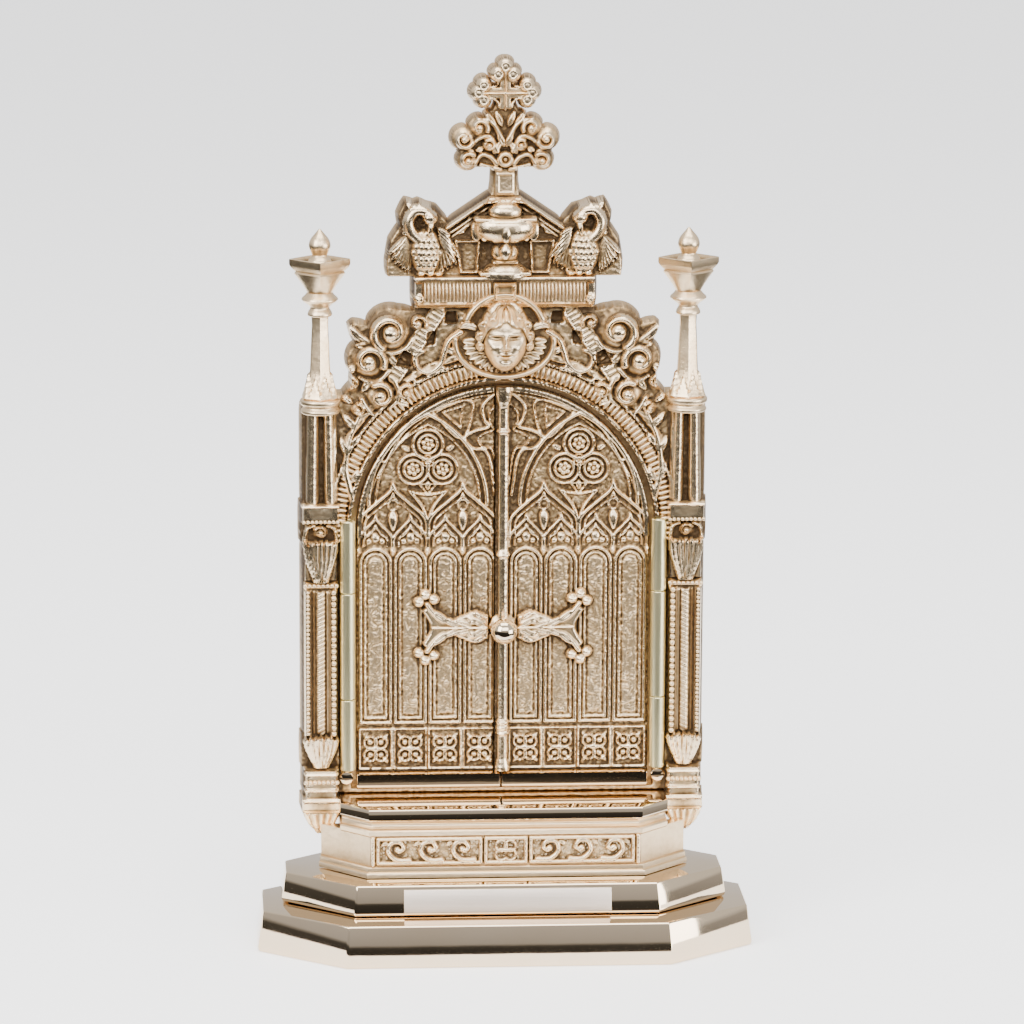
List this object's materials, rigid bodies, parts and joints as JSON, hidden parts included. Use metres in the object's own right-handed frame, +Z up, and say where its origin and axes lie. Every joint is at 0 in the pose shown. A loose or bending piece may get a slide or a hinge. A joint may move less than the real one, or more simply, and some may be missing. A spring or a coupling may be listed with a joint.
{
  "type": "table reliquary with hinged doors",
  "caption": "Cast brass table reliquary: arched front with towers, scrolls and a cross, hinged tracery doors, on a stepped octagonal foot.",
  "frame": {"origin": "middle of the underside of the foot", "axes": "+Z up, the front with the doors faces -Y, +X to the viewer's right"},
  "size_m": [0.1562, 0.066, 0.28],
  "materials": {
    "cast_brass": "cast, polished on the high points, dark in the hollows",
    "polished_brass": "mirror polished",
    "drawn_brass": "bright drawn tube",
    "satin_plate": "satin, fine horizontal brushing"
  },
  "bodies": {
    "case": {"base_slab": "polished_brass", "base_step": "polished_brass", "nameplate": "satin_plate", "pedestal": "cast_brass", "facade": "cast_brass", "relic_case": "cast_brass", "hinge_left_lower": "drawn_brass", "hinge_left_upper": "drawn_brass", "hinge_pin_left": "drawn_brass", "hinge_right_lower": "drawn_brass", "hinge_right_upper": "drawn_brass", "hinge_pin_right": "drawn_brass", "screw_left": "polished_brass", "screw_right": "polished_brass"},
    "left_door": {"door_left": "cast_brass", "hinge_left_middle": "drawn_brass"},
    "right_door": {"door_right": "cast_brass", "hinge_right_middle": "drawn_brass", "door_knob": "polished_brass"}
  },
  "joints": [
    {"name": "left_hinge", "type": "hinge", "parent": "case", "child": "left_door", "pos_m": [-0.049, 0.008, 0.0936], "axis": [0, 0, 1], "range_deg": [-110, 0]},
    {"name": "right_hinge", "type": "hinge", "parent": "case", "child": "right_door", "pos_m": [0.049, 0.008, 0.0936], "axis": [0, 0, 1], "range_deg": [0, 110]}
  ]
}
